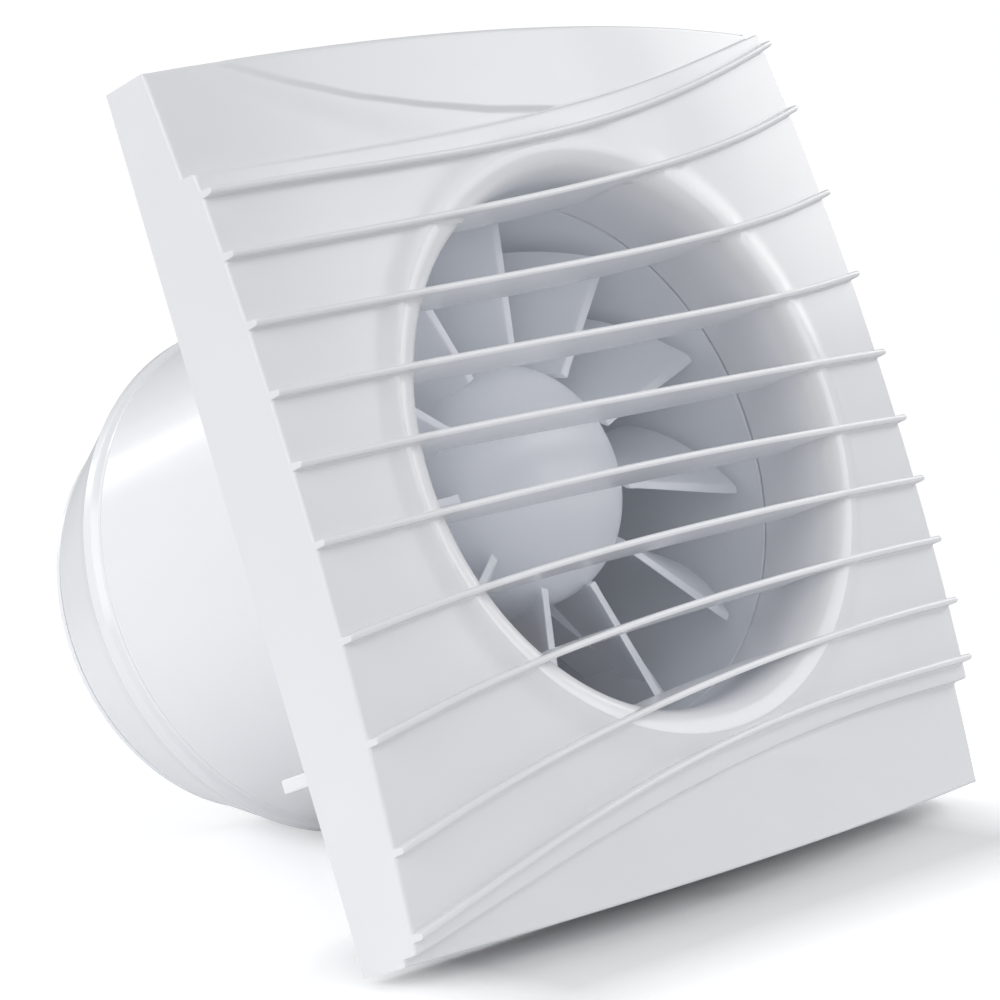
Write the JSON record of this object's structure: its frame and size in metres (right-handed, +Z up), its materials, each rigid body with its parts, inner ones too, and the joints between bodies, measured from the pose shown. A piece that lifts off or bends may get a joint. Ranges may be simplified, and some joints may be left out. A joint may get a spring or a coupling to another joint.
{
  "type": "bathroom extractor fan",
  "caption": "Square louvred bathroom extractor fan with a round opening, axial impeller, motor, duct spigot and rear backdraught shutter.",
  "frame": {"origin": "on the fan axis, in the wall plane at the back of the flange", "axes": "+Y along the duct into the wall, +Z up, +X to the right of a person facing the grille"},
  "size_m": [0.15, 0.1241, 0.1522],
  "materials": {
    "cover_white": "polished white moulding",
    "body_white": "glossy white moulding",
    "fan_grey": "satin pale grey moulding",
    "steel": "bright steel",
    "lamination": "stacked electrical steel",
    "die_cast": "die cast",
    "copper": "enamelled copper wire",
    "bronze": "plain",
    "bobbin_black": "moulded",
    "rubber": "matt"
  },
  "bodies": {
    "fan_body": {"housing": "body_white", "end_ring": "body_white", "flap_pin": "steel", "stator": "lamination", "coil_bobbin": "bobbin_black", "coil_winding": "copper", "bearing_bracket_front": "die_cast", "bearing_bracket_rear": "die_cast", "bush_front": "bronze", "bush_rear": "bronze", "motor_screw_1": "steel", "motor_screw_2": "steel", "terminal_block": "body_white", "terminal_screw_1": "bronze", "terminal_screw_2": "bronze", "terminal_screw_3": "bronze", "inlet_grommet": "rubber"},
    "rotating": {"impeller": "fan_grey", "motor_shaft": "steel", "rotor": "die_cast"},
    "grille": {"front_grille": "cover_white"},
    "flap_left": {"flap_left": "body_white"},
    "flap_right": {"flap_right": "body_white"}
  },
  "joints": [
    {"name": "impeller_spin", "type": "hinge", "parent": "fan_body", "child": "rotating", "pos_m": [0, 0, 0], "axis": [0, 1, 0], "continuous": true},
    {"name": "flap_left_hinge", "type": "hinge", "parent": "fan_body", "child": "flap_left", "pos_m": [0, 0.0943, 0], "axis": [0, 0, -1], "range_deg": [0, 75], "stiffness_Nm_per_rad": 0.0005},
    {"name": "flap_right_hinge", "type": "hinge", "parent": "fan_body", "child": "flap_right", "pos_m": [0, 0.0943, 0], "axis": [0, 0, 1], "range_deg": [0, 75], "stiffness_Nm_per_rad": 0.0005},
    {"name": "grille_pull", "type": "slide", "parent": "fan_body", "child": "grille", "axis": [0, -1, 0], "range_m": [0, 0.03]}
  ]
}
